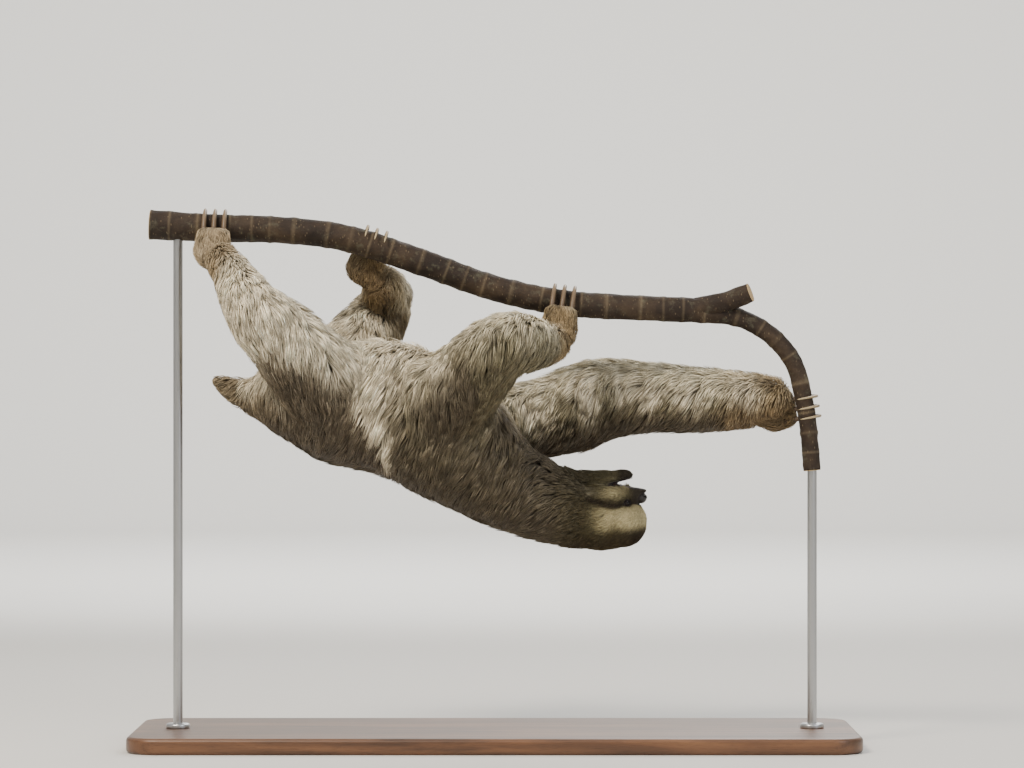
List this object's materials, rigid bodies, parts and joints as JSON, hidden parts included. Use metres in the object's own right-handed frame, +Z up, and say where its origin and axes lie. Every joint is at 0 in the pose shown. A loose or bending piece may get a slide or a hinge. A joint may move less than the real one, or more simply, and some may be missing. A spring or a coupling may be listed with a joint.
{
  "type": "three-toed sloth",
  "caption": "Life-size sloth hanging back-down under a bent branch by hooked claws, head tipped back and mouth slightly open, on a flat wooden stand with steel rods.",
  "frame": {"origin": "middle of the underside of the base board, at the middle of its length and depth", "axes": "+X from the animal's tail to its head along the base, +Y towards the animal's right side, +Z up"},
  "size_m": [0.9, 0.3703, 0.6697],
  "materials": {
    "coat": "coarse matte fur, grey-brown with pale streaks and a little green",
    "eye": "wet gloss, dark brown",
    "nose_skin": "smooth damp bare skin",
    "claw": "satin horn, pinkish brown, paler at the tip",
    "bark": "dark thin bark with rings of leaf scars",
    "walnut": "satin varnish",
    "steel": "satin"
  },
  "bodies": {
    "root": {"head": "coat", "lower_jaw": "coat", "neck": "coat", "trunk": "coat", "tail": "coat", "left_upper_arm": "coat", "left_forearm": "coat", "left_hand": "coat", "right_upper_arm": "coat", "right_forearm": "coat", "right_hand": "coat", "left_thigh": "coat", "left_shin": "coat", "left_foot": "coat", "right_thigh": "coat", "right_shin": "coat", "right_foot": "coat", "left_eye": "eye", "right_eye": "eye", "nose": "nose_skin", "left_hand_claw_inner": "claw", "left_hand_claw_middle": "claw", "left_hand_claw_outer": "claw", "right_hand_claw_inner": "claw", "right_hand_claw_middle": "claw", "right_hand_claw_outer": "claw", "left_foot_claw_inner": "claw", "left_foot_claw_middle": "claw", "left_foot_claw_outer": "claw", "right_foot_claw_inner": "claw", "right_foot_claw_middle": "claw", "right_foot_claw_outer": "claw", "perch_branch": "bark", "stand_board": "walnut", "stand_rod_left": "steel", "stand_rod_right": "steel", "stand_collar_left": "steel", "stand_collar_right": "steel"}
  },
  "joints": []
}
